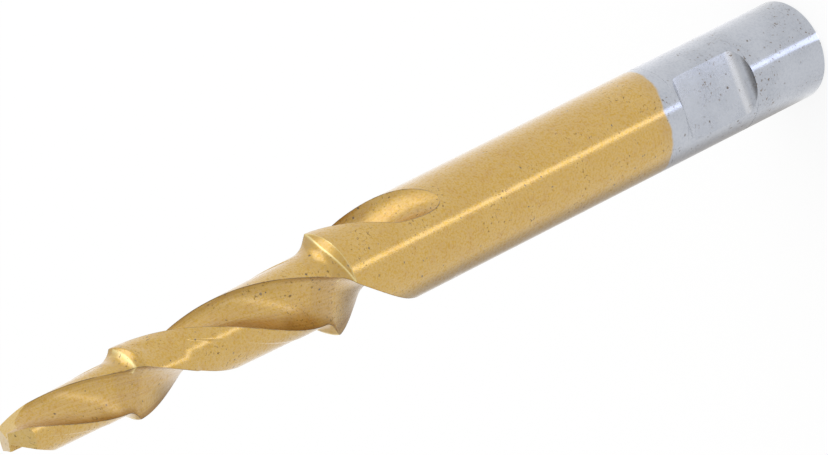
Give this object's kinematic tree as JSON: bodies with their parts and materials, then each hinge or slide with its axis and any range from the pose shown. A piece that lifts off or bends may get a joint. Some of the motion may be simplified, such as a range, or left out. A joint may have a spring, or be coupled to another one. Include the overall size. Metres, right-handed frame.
{
  "type": "step drill",
  "caption": "Right-hand fluted step drill with a pilot, a middle step and a full-size body, ground in one piece with its round shank, which has a clamping flat and is plain near the end.",
  "frame": {"origin": "centre of the flat end face of the shank, on the drill's axis", "axes": "+Z along the axis from the shank's end to the point, and the clamping flat faces -Y"},
  "size_m": [0.01, 0.01, 0.1036],
  "materials": {
    "coated_steel": "ground high speed steel, gold titanium nitride over the cutting length, bare at the shank"
  },
  "bodies": {
    "root": {"step_drill": "coated_steel"}
  },
  "joints": []
}
